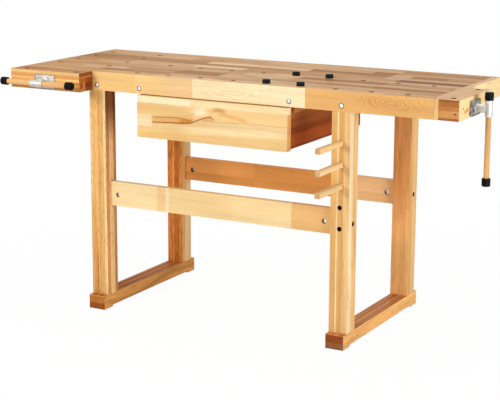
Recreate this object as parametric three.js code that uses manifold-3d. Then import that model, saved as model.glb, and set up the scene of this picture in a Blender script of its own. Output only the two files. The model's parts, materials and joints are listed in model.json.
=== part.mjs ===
// A joiner's bench in laminated beech: a worktop with dog holes between deep aprons,
// two leg frames on sledge feet, a hung drawer, tool pegs, a front vise and a tail vise.
// Millimetres, +Z up. X runs along the bench, the front faces -Y, the floor is Z = 0.

import * as THREE from 'three';
import { mergeVertices } from 'three/addons/utils/BufferGeometryUtils.js';
import Module from 'manifold-3d';

const wasm = await Module();
wasm.setup();

// General fits and facets
const fitGap = 0.3;
const cutPast = 2;
const roundSides = 20;
const smallSides = 12;
const hexSides = 6;

// Worktop, aprons and end cap
const benchHeight = 850;
const slabLength = 1545;
const slabThickness = 25;
const topDepth = 575;
const apronHeight = 65;
const apronThickness = 28;
const endCapThickness = 25;
const endCapLap = 12;

// Dog holes and bench dogs
const dogHoleRadius = 9.5;
const dogFit = 0.5;
const dogRowCount = 9;
const dogRowStart = 450;
const dogRowEndInset = 91.8;
const dogRowBehindApron = 13;
const dogRowSpacing = 217;
const dogColumnCount = 4;
const dogColumnStart = 150;
const dogColumnRearInset = 83;
const dogColumnInset = 48;
const dogColumnSpacing = 212;
const dogFilledSlots = [4, 5];
const dogHeadRadius = 13.5;
const dogHeadHeight = 14.8;
const dogChamfer = 2;
const dogShankShort = 1;

// Legs and feet
const legWidth = 65;
const legDepth = 63;
const leftLegStart = 276;
const rightLegInset = 269;
const legTenonWidth = 35;
const legTenonDepth = 33;
const legTenonLength = 28;
const footHeight = 50;
const footFrontReach = 24;
const footRearReach = 26;
const footPadLength = 50;
const footArch = 6;
const footChamfer = 3;

// Top bearers between the legs
const bearerWidth = 45;
const bearerHeight = 34;
const bearerTenonWidth = 25;
const bearerTenonHeight = 16;
const bearerTenonLength = 12;

// Stretchers with their bolts and barrel nuts
const stretcherBottom = 375;
const stretcherHeight = 86;
const stretcherThickness = 24;
const stretcherSetback = 23;
const stretcherBoltHeight = 40;
const boltRadius = 4;
const boltHeadRadius = 6.5;
const boltHeadHeight = 6;
const boltSocketRadius = 3.4;
const boltSocketDepth = 4;
const boltRecessRadius = 8.5;
const stretcherRecessDepth = 12;
const barrelNutRadius = 8;
const barrelNutLength = 11;
const barrelNutInset = 33;
const barrelNutSink = 7;
const boltPastNut = 4;

// Apron bolts
const apronBoltHeight = 18;
const apronBoltReach = 18;
const apronRecessDepth = 5;

// Drawer and the rails that it hangs on
const drawerLeftGap = 139.5;
const drawerRightGap = 153.5;
const drawerProud = 12;
const drawerFrontThickness = 26;
const drawerTopGap = 3;
const drawerFrontHeight = 144;
const drawerFrontChamfer = 2;
const drawerSideThickness = 16;
const drawerSideLift = 5;
const drawerSideDrop = 4;
const drawerBackThickness = 14;
const drawerBackSetIn = 14;
const drawerBottomThickness = 8;
const drawerBottomRise = 8;
const drawerGrooveDepth = 6;
const railSideGap = 0.6;
const railWidth = 34;
const railBoltInset = 9;
const railLift = 2;
const railPlateThickness = 7;
const railPlateDrop = 23;
const railTongueHeight = 9;
const railTongueReach = 8;
const railTongueRise = 4;

// Tool pegs on the right front leg
const pegHoleRadius = 8;
const pegFit = 0.4;
const pegHoleCount = 5;
const pegHoleStart = 401;
const pegHolePitch = 70.5;
const pegFilledSlots = [2, 3, 4];
const pegSection = 18;
const pegReach = 168;
const pegTenonLength = 26;
const pegChamfer = 2;

// Vises: jaws, screws, guide rods and tommy bars
const frontJawLength = 290;
const frontJawThickness = 80;
const frontScrewInset = 147;
const frontJawDogDepth = 50;
const tailJawLength = 276;
const tailJawThickness = 68;
const tailScrewInset = 132;
const tailJawDogDepth = 34;
const jawGap = 0.8;
const viseAxisDrop = 13;
const plateWidth = 84;
const plateHeight = 50;
const plateThickness = 4;
const collarRadius = 16;
const collarLength = 9;
const neckRadius = 12.5;
const sleeveOffset = 48.5;
const sleeveRadius = 11.5;
const sleeveLength = 51;
const journalRadius = 9.5;
const threadRadius = 9;
const threadDepth = 1.4;
const threadLead = 6;
const threadSides = 10;
const threadStepsPerTurn = 3;
const threadTurns = 37;
const threadStart = 4;
const guideRodRadius = 9;
const guideRodSpacing = 130;
const guideRodDrop = 2;
const guideRodInset = 12;
const guideRodTail = 200;
const guideBlockWidth = 182;
const guideBlockDepth = 45;
const guideBlockHeight = 36;
const nutWidth = 44;
const nutDrop = 20;
const nutLength = 24;
const handleRadius = 9;
const handleLength = 300;
const capRadius = 14;
const capLength = 27;
const capSocketDepth = 20;
const capChamfer = 3;

// Levels and places that follow from the sizes above
const slabBottom = benchHeight - slabThickness;
const underSlab = slabBottom - fitGap;
const apronBottom = benchHeight - apronHeight;
const apronBoltLevel = apronBottom + apronBoltHeight;
const endCapFace = slabLength + endCapThickness;
const rearApronStart = topDepth - apronThickness;
const frontDogRow = apronThickness + dogRowBehindApron;
const dogShankLength = slabThickness - dogShankShort;
const dogRows = [frontDogRow, frontDogRow + dogRowSpacing];
const dogColumns = [dogColumnInset, dogColumnInset + dogColumnSpacing];
const dogRowPitch = (slabLength - dogRowEndInset - dogRowStart) / (dogRowCount - 1);
const dogColumnPitch = (topDepth - dogColumnRearInset - dogColumnStart) / (dogColumnCount - 1);
const rightLegStart = slabLength - rightLegInset - legWidth;
const legStarts = { left: leftLegStart, right: rightLegStart };
const legFronts = { front: 0, rear: topDepth - legDepth };
const rightLegMiddle = rightLegStart + legWidth / 2;
const stretcherBoltLevel = stretcherBottom + stretcherBoltHeight;
const stretcherMiddle = stretcherSetback + stretcherThickness / 2;
const viseAxisLevel = slabBottom - viseAxisDrop;
const threadEnd = threadStart + threadTurns * threadLead;
const drawerStart = leftLegStart + legWidth + drawerLeftGap;
const drawerEnd = rightLegStart - drawerRightGap;
const drawerFrontTop = apronBottom - drawerTopGap;
const drawerFrontBottom = drawerFrontTop - drawerFrontHeight;
const drawerFrontBack = drawerFrontThickness - drawerProud;
const drawerSideBottom = drawerFrontBottom + drawerSideLift;
const drawerSideTop = drawerFrontTop - drawerSideDrop;
const drawerFloor = drawerSideBottom + drawerBottomRise;
const drawerFloorTop = drawerFloor + drawerBottomThickness;
const drawerRear = topDepth - drawerBackSetIn;
const railPlateFace = drawerEnd + railSideGap;
const railOuter = railPlateFace + railPlateThickness;
const railBottom = apronBottom - railPlateDrop;
const railTongueBottom = railBottom + railTongueRise;
const railTongueTop = railTongueBottom + railTongueHeight;
const apronBoltPlaces = {
  left_leg: leftLegStart + legWidth / 2,
  left_rail: acrossDrawer(railOuter - railBoltInset),
  right_rail: railOuter - railBoltInset,
  right_leg: rightLegMiddle,
};

// Colours and finishes of the real materials
const finishes = {
  beechTop: { color: 0xc39a76, roughness: 0.5, metalness: 0 },
  beech: { color: 0xe3b87a, roughness: 0.5, metalness: 0 },
  beechDark: { color: 0xc98f55, roughness: 0.55, metalness: 0 },
  zinc: { color: 0xc9c9c4, roughness: 0.35, metalness: 0.9 },
  rubber: { color: 0x1a1a1b, roughness: 0.6, metalness: 0 },
};

const bench = new THREE.Group();

// The mirror of a place across the drawer's middle
function acrossDrawer(x) {
  return drawerStart + drawerEnd - x;
}

// A closed geometry becomes a solid once its shared points are merged
function solidOf(geometry) {
  const bare = geometry.clone();
  bare.deleteAttribute('normal');
  bare.deleteAttribute('uv');
  const merged = mergeVertices(bare);
  const corners = merged.index.array;
  const kept = [];
  for (let i = 0; i < corners.length; i += 3) {
    const [a, b, c] = corners.slice(i, i + 3);
    if (a !== b && b !== c && c !== a) {
      kept.push(a, b, c);
    }
  }
  const vertProperties = new Float32Array(merged.attributes.position.array);
  const triVerts = new Uint32Array(kept);
  return new wasm.Manifold(new wasm.Mesh({ numProp: 3, vertProperties, triVerts }));
}

function addPiece(group, name, finish, solid) {
  const { vertProperties, triVerts } = solid.getMesh();
  const geometry = new THREE.BufferGeometry();
  geometry.setAttribute('position', new THREE.BufferAttribute(new Float32Array(vertProperties), 3));
  geometry.setIndex(new THREE.BufferAttribute(new Uint32Array(triVerts), 1));
  geometry.computeVertexNormals();
  const mesh = new THREE.Mesh(geometry, new THREE.MeshStandardMaterial(finishes[finish]));
  mesh.name = name;
  group.add(mesh);
  return mesh;
}

function block(low, high) {
  const size = high.map((value, axis) => value - low[axis]);
  const middle = high.map((value, axis) => (value + low[axis]) / 2);
  return solidOf(new THREE.BoxGeometry(...size).translate(...middle));
}

// Lays a geometry that runs along +Z along another axis
function alongAxis(geometry, axis) {
  if (axis === 'x') {
    return geometry.rotateY(Math.PI / 2);
  }
  if (axis === 'y') {
    return geometry.rotateX(-Math.PI / 2);
  }
  return geometry;
}

function rod(axis, radius, start, length, sides = roundSides) {
  const geometry = new THREE.CylinderGeometry(radius, radius, length, sides);
  geometry.rotateX(Math.PI / 2).translate(0, 0, length / 2);
  return solidOf(alongAxis(geometry, axis).translate(...start));
}

// A bore whose flats clear a rod of the given radius, however the rod is turned
function bore(axis, radius, start, length, sides = roundSides) {
  return rod(axis, (radius + fitGap) / Math.cos(Math.PI / sides), start, length, sides);
}

// A profile of [radius, height] points from foot to head, turned about an axis
function turned(axis, profile, sides = roundSides) {
  const points = profile.map(([radius, height]) => new THREE.Vector2(radius, height));
  const geometry = new THREE.LatheGeometry(points, sides).rotateX(Math.PI / 2);
  return solidOf(alongAxis(geometry, axis));
}

// An outline of [y, z] points drawn out along X, or of [x, z] points drawn out along Y
function drawnOut(axis, outline, start, end) {
  const shape = new THREE.Shape(outline.map(([across, up]) => new THREE.Vector2(across, up)));
  const geometry = new THREE.ExtrudeGeometry(shape, { depth: end - start, bevelEnabled: false });
  if (axis === 'x') {
    geometry.rotateZ(Math.PI / 2).rotateY(Math.PI / 2).translate(start, 0, 0);
  } else {
    geometry.rotateX(Math.PI / 2).translate(0, end, 0);
  }
  return solidOf(geometry);
}

function dogHole(x, y, low, high) {
  return rod('z', dogHoleRadius, [x, y, low - cutPast], high - low + 2 * cutPast);
}

// Worktop slab with its two rows and two columns of dog holes
function makeWorktop() {
  let slab = block(
    [0, apronThickness + fitGap, slabBottom],
    [slabLength - fitGap, rearApronStart - fitGap, benchHeight],
  );
  for (const y of dogRows) {
    for (let i = 0; i < dogRowCount; i += 1) {
      slab = slab.subtract(dogHole(dogRowStart + i * dogRowPitch, y, slabBottom, benchHeight));
    }
  }
  for (const x of dogColumns) {
    for (let i = 0; i < dogColumnCount; i += 1) {
      slab = slab.subtract(dogHole(x, dogColumnStart + i * dogColumnPitch, slabBottom, benchHeight));
    }
  }
  addPiece(bench, 'worktop', 'beechTop', slab);
}

// The hole of an apron bolt's shank, from the apron's front face to the bolt's end
function apronBoltHole(x) {
  const length = apronThickness + apronBoltReach + fitGap + cutPast;
  return bore('y', boltRadius, [x, -cutPast, apronBoltLevel], length, smallSides);
}

function apronBoltRecess(x) {
  return rod('y', boltRecessRadius, [x, -cutPast, apronBoltLevel], apronRecessDepth + cutPast);
}

// Screw and guide rod bores through a board that starts at Y = 0, in a vise's own frame
function viseBores(boardThickness) {
  const length = boardThickness + 2 * cutPast;
  let bores = bore('y', journalRadius, [0, -cutPast, 0], length);
  for (const side of [-1, 1]) {
    const start = [side * guideRodSpacing / 2, -cutPast, -guideRodDrop];
    bores = bores.add(bore('y', guideRodRadius, start, length));
  }
  return bores;
}

function makeAprons() {
  let front = block([0, 0, apronBottom], [slabLength + endCapLap - fitGap, apronThickness, benchHeight]);
  for (const x of Object.values(apronBoltPlaces)) {
    front = front.subtract(apronBoltHole(x)).subtract(apronBoltRecess(x));
  }
  front = front.subtract(viseBores(apronThickness).translate([frontScrewInset, 0, viseAxisLevel]));
  addPiece(bench, 'front_apron', 'beech', front);

  const rear = block(
    [0, rearApronStart, apronBottom],
    [slabLength + endCapLap - fitGap, topDepth, benchHeight],
  );
  addPiece(bench, 'rear_apron', 'beech', rear);
}

// End cap, lapped at both ends over the ends of the aprons
function makeEndCap() {
  let cap = block([slabLength, 0, apronBottom], [endCapFace, topDepth, benchHeight]);
  const lapReach = apronThickness + fitGap;
  for (const [from, to] of [[-cutPast, lapReach], [topDepth - lapReach, topDepth + cutPast]]) {
    const low = [slabLength - cutPast, from, apronBottom - cutPast];
    const high = [slabLength + endCapLap, to, benchHeight + cutPast];
    cap = cap.subtract(block(low, high));
  }
  const bores = viseBores(endCapThickness).rotate([0, 0, 90]);
  cap = cap.subtract(bores.translate([endCapFace, tailScrewInset, viseAxisLevel]));
  addPiece(bench, 'end_cap', 'beech', cap);
}

// A socket head bolt along an axis, with the seat of its head at the origin
function boltSolid(axis, length) {
  const backwards = (reach) => (axis === 'x' ? [-reach, 0, 0] : [0, -reach, 0]);
  const head = rod(axis, boltHeadRadius, backwards(boltHeadHeight), boltHeadHeight);
  const shank = rod(axis, boltRadius, backwards(boltHeadHeight / 2), boltHeadHeight / 2 + length, smallSides);
  const socketStart = backwards(boltHeadHeight + cutPast);
  const socket = rod(axis, boltSocketRadius, socketStart, boltSocketDepth + cutPast, hexSides);
  return head.add(shank).subtract(socket);
}

function makeApronBolts() {
  const seat = apronRecessDepth - fitGap;
  for (const [name, x] of Object.entries(apronBoltPlaces)) {
    const solid = boltSolid('y', apronThickness + apronBoltReach - seat);
    const bolt = addPiece(bench, `apron_bolt_${name}`, 'zinc', solid);
    bolt.position.set(x, seat, apronBoltLevel);
  }
}

// A leg with its foot tenon and its apron rebate, its left front corner at X = Y = 0
function legBlank(end) {
  const shoulder = footHeight + fitGap;
  const rebate = apronThickness + fitGap;
  const leg = block([0, 0, shoulder], [legWidth, legDepth, underSlab]);
  const [rebateFrom, rebateTo] = end === 'front'
    ? [-cutPast, rebate]
    : [legDepth - rebate, legDepth + cutPast];
  const cut = block(
    [-cutPast, rebateFrom, apronBottom - fitGap],
    [legWidth + cutPast, rebateTo, underSlab + cutPast],
  );
  const tenonX = (legWidth - legTenonWidth) / 2;
  const tenonY = (legDepth - legTenonDepth) / 2;
  const tenon = block(
    [tenonX, tenonY, footHeight - legTenonLength],
    [tenonX + legTenonWidth, tenonY + legTenonDepth, shoulder + cutPast],
  );
  return leg.subtract(cut).add(tenon);
}

// The mortise for a top bearer's stub tenon, in the leg's own place
function bearerMortise(end) {
  const halfWidth = bearerTenonWidth / 2 + fitGap;
  const halfHeight = bearerTenonHeight / 2 + fitGap;
  const depth = bearerTenonLength + fitGap;
  const middle = underSlab - bearerHeight / 2;
  const [from, to] = end === 'front' ? [legDepth - depth, legDepth + cutPast] : [-cutPast, depth];
  return block(
    [legWidth / 2 - halfWidth, from, middle - halfHeight],
    [legWidth / 2 + halfWidth, to, middle + halfHeight],
  );
}

// A stretcher bolt's hole through a leg, with the head's recess in the outer side
function stretcherBoltHole(side) {
  const at = (x) => [x, stretcherMiddle, stretcherBoltLevel];
  const hole = bore('x', boltRadius, at(-cutPast), legWidth + 2 * cutPast, smallSides);
  const recessStart = side === 'left' ? -cutPast : legWidth - stretcherRecessDepth;
  return hole.add(rod('x', boltRecessRadius, at(recessStart), stretcherRecessDepth + cutPast));
}

function pegLevel(slot) {
  return pegHoleStart + slot * pegHolePitch;
}

function makeLegs() {
  for (const [side, x] of Object.entries(legStarts)) {
    for (const [end, y] of Object.entries(legFronts)) {
      let leg = legBlank(end).subtract(bearerMortise(end)).subtract(stretcherBoltHole(side));
      if (end === 'front') {
        leg = leg.subtract(apronBoltHole(legWidth / 2));
      }
      if (end === 'front' && side === 'right') {
        for (let slot = 0; slot < pegHoleCount; slot += 1) {
          const start = [legWidth / 2, -cutPast, pegLevel(slot)];
          leg = leg.subtract(rod('y', pegHoleRadius, start, pegTenonLength + fitGap + cutPast));
        }
      }
      const mesh = addPiece(bench, `${side}_${end}_leg`, 'beech', leg);
      mesh.position.set(x, y, 0);
    }
  }
}

// Sledge feet with a shallow arch between their end pads
function makeFeet() {
  const front = -footFrontReach;
  const rear = topDepth + footRearReach;
  const outline = [
    [front, 0],
    [front + footPadLength, 0],
    [front + footPadLength + footArch, footArch],
    [rear - footPadLength - footArch, footArch],
    [rear - footPadLength, 0],
    [rear, 0],
    [rear, footHeight - footChamfer],
    [rear - footChamfer, footHeight],
    [front + footChamfer, footHeight],
    [front, footHeight - footChamfer],
  ];
  const mortiseX = (legWidth - legTenonWidth) / 2 - fitGap;
  const mortiseY = (legDepth - legTenonDepth) / 2 - fitGap;
  const mortiseLow = footHeight - legTenonLength - fitGap;
  for (const [side, x] of Object.entries(legStarts)) {
    let foot = drawnOut('x', outline, 0, legWidth);
    for (const y of Object.values(legFronts)) {
      foot = foot.subtract(block(
        [mortiseX, y + mortiseY, mortiseLow],
        [legWidth - mortiseX, y + legDepth - mortiseY, footHeight + cutPast],
      ));
    }
    const mesh = addPiece(bench, `${side}_foot`, 'beechDark', foot);
    mesh.position.set(x, 0, 0);
  }
}

// Bearers under the slab, with a stub tenon into each leg
function makeBearers() {
  const from = legDepth + fitGap;
  const to = topDepth - legDepth - fitGap;
  const middle = underSlab - bearerHeight / 2;
  for (const [side, x] of Object.entries(legStarts)) {
    const body = block(
      [-bearerWidth / 2, from, underSlab - bearerHeight],
      [bearerWidth / 2, to, underSlab],
    );
    const tenons = block(
      [-bearerTenonWidth / 2, from - bearerTenonLength, middle - bearerTenonHeight / 2],
      [bearerTenonWidth / 2, to + bearerTenonLength, middle + bearerTenonHeight / 2],
    );
    const mesh = addPiece(bench, `${side}_top_bearer`, 'beech', body.add(tenons));
    mesh.position.set(x + legWidth / 2, 0, 0);
  }
}

// Stretchers butted between the legs, each end drawn up by a bolt in a barrel nut
function makeStretchers() {
  const from = leftLegStart + legWidth + fitGap;
  const to = rightLegStart - fitGap;
  const nutPlaces = { left: leftLegStart + legWidth + barrelNutInset, right: rightLegStart - barrelNutInset };
  const boltEnd = barrelNutInset + barrelNutRadius + boltPastNut;
  const nutDepth = barrelNutSink + barrelNutLength + fitGap;
  for (const [end, y] of Object.entries(legFronts)) {
    const face = y + stretcherSetback;
    let board = block(
      [from, face, stretcherBottom],
      [to, face + stretcherThickness, stretcherBottom + stretcherHeight],
    );
    for (const [side, x] of Object.entries(nutPlaces)) {
      const holeStart = side === 'left' ? from - cutPast : to - boltEnd;
      const hole = [holeStart, y + stretcherMiddle, stretcherBoltLevel];
      board = board.subtract(bore('x', boltRadius, hole, boltEnd + cutPast, smallSides));
      const pocket = [x, face - cutPast, stretcherBoltLevel];
      board = board.subtract(bore('y', barrelNutRadius, pocket, nutDepth + cutPast));
    }
    addPiece(bench, `${end}_stretcher`, 'beech', board);
    makeStretcherFasteners(end, y, nutPlaces);
  }
}

function makeStretcherFasteners(end, y, nutPlaces) {
  const seat = stretcherRecessDepth - fitGap;
  const length = legWidth - seat + barrelNutInset + barrelNutRadius;
  for (const [side, x] of Object.entries(nutPlaces)) {
    const bolt = addPiece(bench, `${end}_stretcher_bolt_${side}`, 'zinc', boltSolid('x', length));
    const outer = side === 'left' ? leftLegStart + seat : rightLegStart + legWidth - seat;
    bolt.position.set(outer, y + stretcherMiddle, stretcherBoltLevel);
    bolt.rotation.z = side === 'left' ? 0 : Math.PI;

    const start = barrelNutSink - stretcherThickness / 2;
    const thread = bore('x', boltRadius, [-2 * barrelNutRadius, 0, 0], 4 * barrelNutRadius, smallSides);
    const barrel = rod('y', barrelNutRadius, [0, start, 0], barrelNutLength).subtract(thread);
    const nut = addPiece(bench, `${end}_barrel_nut_${side}`, 'zinc', barrel);
    nut.position.set(x, y + stretcherMiddle, stretcherBoltLevel);
  }
}

// Hanging rails: a block bolted behind the apron, and a plate with a tongue for the drawer
function makeRails() {
  const blockBottom = apronBottom + railLift;
  const outline = [
    [railPlateFace, railBottom],
    [railOuter, railBottom],
    [railOuter, underSlab],
    [railOuter - railWidth, underSlab],
    [railOuter - railWidth, blockBottom],
    [railPlateFace, blockBottom],
    [railPlateFace, railTongueTop],
    [railPlateFace - railTongueReach, railTongueTop],
    [railPlateFace - railTongueReach, railTongueBottom],
    [railPlateFace, railTongueBottom],
  ];
  const mirrored = outline.map(([x, z]) => [acrossDrawer(x), z]);
  for (const [side, points] of [['left', mirrored], ['right', outline]]) {
    const rail = drawnOut('y', points, apronThickness + fitGap, rearApronStart - fitGap);
    const hole = apronBoltHole(apronBoltPlaces[`${side}_rail`]);
    addPiece(bench, `${side}_drawer_rail`, 'beech', rail.subtract(hole));
  }
}

// Drawer front with its top edge chamfered and a stopped groove for the bottom board
function makeDrawerFront() {
  const outline = [
    [-drawerProud, drawerFrontBottom],
    [drawerFrontBack, drawerFrontBottom],
    [drawerFrontBack, drawerFrontTop],
    [drawerFrontChamfer - drawerProud, drawerFrontTop],
    [-drawerProud, drawerFrontTop - drawerFrontChamfer],
  ];
  const groove = block(
    [drawerStart + drawerGrooveDepth, drawerFrontBack - drawerGrooveDepth, drawerFloor - fitGap],
    [drawerEnd - drawerGrooveDepth, drawerFrontBack + cutPast, drawerFloorTop + fitGap],
  );
  addPiece(bench, 'drawer_front', 'beech', drawnOut('x', outline, drawerStart, drawerEnd).subtract(groove));
}

// Drawer sides, grooved outside for the rail's tongue and inside for the bottom board
function makeDrawerSides() {
  const inner = drawerEnd - drawerSideThickness;
  const tongueGroove = railPlateFace - railTongueReach - fitGap;
  const outline = [
    [inner, drawerSideBottom],
    [drawerEnd, drawerSideBottom],
    [drawerEnd, railTongueBottom - fitGap],
    [tongueGroove, railTongueBottom - fitGap],
    [tongueGroove, railTongueTop + fitGap],
    [drawerEnd, railTongueTop + fitGap],
    [drawerEnd, drawerSideTop],
    [inner, drawerSideTop],
    [inner, drawerFloorTop + fitGap],
    [inner + drawerGrooveDepth, drawerFloorTop + fitGap],
    [inner + drawerGrooveDepth, drawerFloor - fitGap],
    [inner, drawerFloor - fitGap],
  ];
  const mirrored = outline.map(([x, z]) => [acrossDrawer(x), z]);
  for (const [side, points] of [['left', mirrored], ['right', outline]]) {
    const board = drawnOut('y', points, drawerFrontBack + fitGap, drawerRear);
    addPiece(bench, `drawer_side_${side}`, 'beechDark', board);
  }
}

function makeDrawerBackAndBottom() {
  const inner = drawerStart + drawerSideThickness;
  const backStart = inner + fitGap;
  const back = block(
    [backStart, drawerRear - drawerBackThickness, drawerFloorTop + fitGap],
    [acrossDrawer(backStart), drawerRear, drawerSideTop],
  );
  addPiece(bench, 'drawer_back', 'beechDark', back);

  const bottomStart = inner - drawerGrooveDepth + fitGap;
  const bottom = block(
    [bottomStart, drawerFrontBack - drawerGrooveDepth + fitGap, drawerFloor],
    [acrossDrawer(bottomStart), drawerRear, drawerFloorTop],
  );
  addPiece(bench, 'drawer_bottom', 'beechDark', bottom);
}

// Square tool pegs with a round tenon, in the upper holes of the right front leg
function makePegs() {
  const half = pegSection / 2;
  const flat = half - pegChamfer;
  const outline = [
    [-flat, -half], [flat, -half], [half, -flat], [half, flat],
    [flat, half], [-flat, half], [-half, flat], [-half, -flat],
  ];
  const names = ['lower', 'middle', 'upper'];
  pegFilledSlots.forEach((slot, i) => {
    const shaft = drawnOut('y', outline, -pegReach, -fitGap);
    const tenon = rod('y', pegHoleRadius - pegFit, [0, -cutPast, 0], pegTenonLength + cutPast);
    const peg = addPiece(bench, `tool_peg_${names[i]}`, 'beech', shaft.add(tenon));
    peg.position.set(rightLegMiddle, 0, pegLevel(slot));
  });
}

// Round bench dogs that drop into two holes of each row
function makeDogs() {
  const shank = dogHoleRadius - dogFit;
  const headTop = fitGap + dogHeadHeight;
  const profile = [
    [0, -dogShankLength],
    [shank - dogChamfer, -dogShankLength],
    [shank, dogChamfer - dogShankLength],
    [shank, fitGap],
    [dogHeadRadius, fitGap],
    [dogHeadRadius, headTop - dogChamfer],
    [dogHeadRadius - dogChamfer, headTop],
    [0, headTop],
  ];
  const rowNames = ['front', 'rear'];
  const slotNames = ['left', 'right'];
  dogRows.forEach((y, row) => {
    dogFilledSlots.forEach((slot, i) => {
      const name = `bench_dog_${rowNames[row]}_${slotNames[i]}`;
      const dog = addPiece(bench, name, 'rubber', turned('z', profile));
      dog.position.set(dogRowStart + slot * dogRowPitch, y, benchHeight);
    });
  });
}

// A rod with a helical thread: each ring of points moves in and out with the helix
function threadedRod() {
  const rings = threadTurns * threadStepsPerTurn;
  const step = threadLead / threadStepsPerTurn;
  const root = threadRadius - threadDepth;
  const points = [new THREE.Vector2(0, threadStart), new THREE.Vector2(root, threadStart)];
  for (let i = 1; i < rings; i += 1) {
    points.push(new THREE.Vector2(threadRadius, threadStart + i * step));
  }
  points.push(new THREE.Vector2(root, threadEnd), new THREE.Vector2(0, threadEnd));
  const geometry = new THREE.LatheGeometry(points, threadSides);
  const position = geometry.attributes.position;
  for (let side = 0; side <= threadSides; side += 1) {
    for (let ring = 2; ring <= rings; ring += 1) {
      const vertex = side * points.length + ring;
      const turn = (ring - 1) / threadStepsPerTurn - side / threadSides;
      const ridge = Math.abs(2 * (turn - Math.floor(turn)) - 1);
      const scale = (root + threadDepth * ridge) / threadRadius;
      position.setX(vertex, position.getX(vertex) * scale);
      position.setZ(vertex, position.getZ(vertex) * scale);
    }
  }
  return solidOf(geometry);
}

// A vise screw along +Y, with its collar on the plate and its cross sleeve for the bar
function screwSolid(jawThickness, barAxis) {
  const sleeveMiddle = -jawThickness - sleeveOffset;
  const collarBack = -jawThickness - plateThickness - 2 * fitGap;
  const neckEnd = sleeveMiddle + sleeveRadius / 2;
  const head = turned('y', [
    [0, neckEnd],
    [neckRadius, neckEnd],
    [neckRadius, collarBack - collarLength],
    [collarRadius, collarBack - collarLength],
    [collarRadius, collarBack],
    [journalRadius, collarBack],
    [journalRadius, threadStart + threadLead],
    [0, threadStart + threadLead],
  ]);
  const across = (reach) => (barAxis === 'x' ? [-reach, sleeveMiddle, 0] : [0, sleeveMiddle, -reach]);
  const sleeve = rod(barAxis, sleeveRadius, across(sleeveLength / 2), sleeveLength);
  const barHole = bore(barAxis, handleRadius, across(sleeveLength), 2 * sleeveLength);
  return head.add(threadedRod()).add(sleeve).subtract(barHole);
}

// The tommy bar with a rubber cap on each end, along X about its own middle
function makeTommyBar(group, name, capNames) {
  const barHalf = handleLength / 2 - (capLength - capSocketDepth) - fitGap;
  addPiece(group, `${name}_handle`, 'beech', rod('x', handleRadius, [-barHalf, 0, 0], 2 * barHalf));
  const socketRadius = (handleRadius + fitGap) / Math.cos(Math.PI / roundSides);
  const profile = [
    [socketRadius, 0],
    [capRadius, 0],
    [capRadius, capLength - capChamfer],
    [capRadius - capChamfer, capLength],
    [0, capLength],
    [0, capSocketDepth],
    [socketRadius, capSocketDepth],
    [socketRadius, 0],
  ];
  capNames.forEach((capName, i) => {
    const cap = addPiece(group, `${name}_cap_${capName}`, 'rubber', turned('x', profile));
    const mouth = handleLength / 2 - capLength;
    cap.position.x = i === 0 ? -mouth : mouth;
    cap.rotation.z = i === 0 ? Math.PI : 0;
  });
}

// A vise in its own frame: the jaw closes on Y = 0, the screw runs along Y at X = Z = 0
function makeVise(vise) {
  const group = new THREE.Group();
  const { name, jawThickness, jawLength, screwInset, boardThickness } = vise;
  const jawLow = [-screwInset, -jawThickness, apronBottom - viseAxisLevel];
  const jawHigh = [jawLength - screwInset, -jawGap, benchHeight - viseAxisLevel];
  let jaw = block(jawLow, jawHigh);
  jaw = jaw.subtract(bore('y', journalRadius, [0, -jawThickness - cutPast, 0], jawThickness + 2 * cutPast));
  for (const x of vise.dogPlaces) {
    jaw = jaw.subtract(dogHole(x - screwInset, -vise.dogDepth, jawLow[2], jawHigh[2]));
  }

  const rodStart = guideRodInset - jawThickness;
  [-1, 1].forEach((side, i) => {
    const x = side * guideRodSpacing / 2;
    const socket = [x, rodStart - fitGap, -guideRodDrop];
    jaw = jaw.subtract(bore('y', guideRodRadius, socket, jawThickness));
    const solid = rod('y', guideRodRadius, [x, rodStart, -guideRodDrop], guideRodTail - rodStart);
    addPiece(group, `${name}_guide_rod_${vise.rodNames[i]}`, 'zinc', solid);
  });
  addPiece(group, `${name}_jaw`, 'beech', jaw);

  const plateBack = -jawThickness - fitGap;
  const plate = block(
    [-plateWidth / 2, plateBack - plateThickness, -plateHeight / 2],
    [plateWidth / 2, plateBack, plateHeight / 2],
  );
  const plateHole = [0, plateBack - plateThickness - cutPast, 0];
  const plateBore = bore('y', journalRadius, plateHole, plateThickness + 2 * cutPast);
  addPiece(group, `${name}_plate`, 'zinc', plate.subtract(plateBore));
  addPiece(group, `${name}_screw`, 'zinc', screwSolid(jawThickness, vise.barAxis));

  const blockStart = boardThickness + fitGap;
  const blockEnd = blockStart + guideBlockDepth;
  const undersideLevel = viseAxisDrop - fitGap;
  const guide = block(
    [-guideBlockWidth / 2, blockStart, undersideLevel - guideBlockHeight],
    [guideBlockWidth / 2, blockEnd, undersideLevel],
  );
  addPiece(group, `${name}_guide_block`, 'beech', guide.subtract(viseBores(blockEnd)));

  const nutStart = blockEnd + fitGap;
  const nut = block(
    [-nutWidth / 2, nutStart, -nutDrop],
    [nutWidth / 2, nutStart + nutLength, undersideLevel],
  );
  const nutBore = bore('y', threadRadius, [0, nutStart - cutPast, 0], nutLength + 2 * cutPast);
  addPiece(group, `${name}_nut`, 'zinc', nut.subtract(nutBore));

  const bar = new THREE.Group();
  bar.position.set(0, -jawThickness - sleeveOffset, 0);
  if (vise.barAxis === 'z') {
    bar.rotation.y = -Math.PI / 2;
    bar.position.z = sleeveLength / 2 + fitGap + capLength - handleLength / 2;
  }
  makeTommyBar(bar, name, vise.capNames);
  group.add(bar);
  bench.add(group);
  return group;
}

makeWorktop();
makeAprons();
makeEndCap();
makeApronBolts();
makeLegs();
makeFeet();
makeBearers();
makeStretchers();
makeRails();
makeDrawerFront();
makeDrawerSides();
makeDrawerBackAndBottom();
makePegs();
makeDogs();

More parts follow.
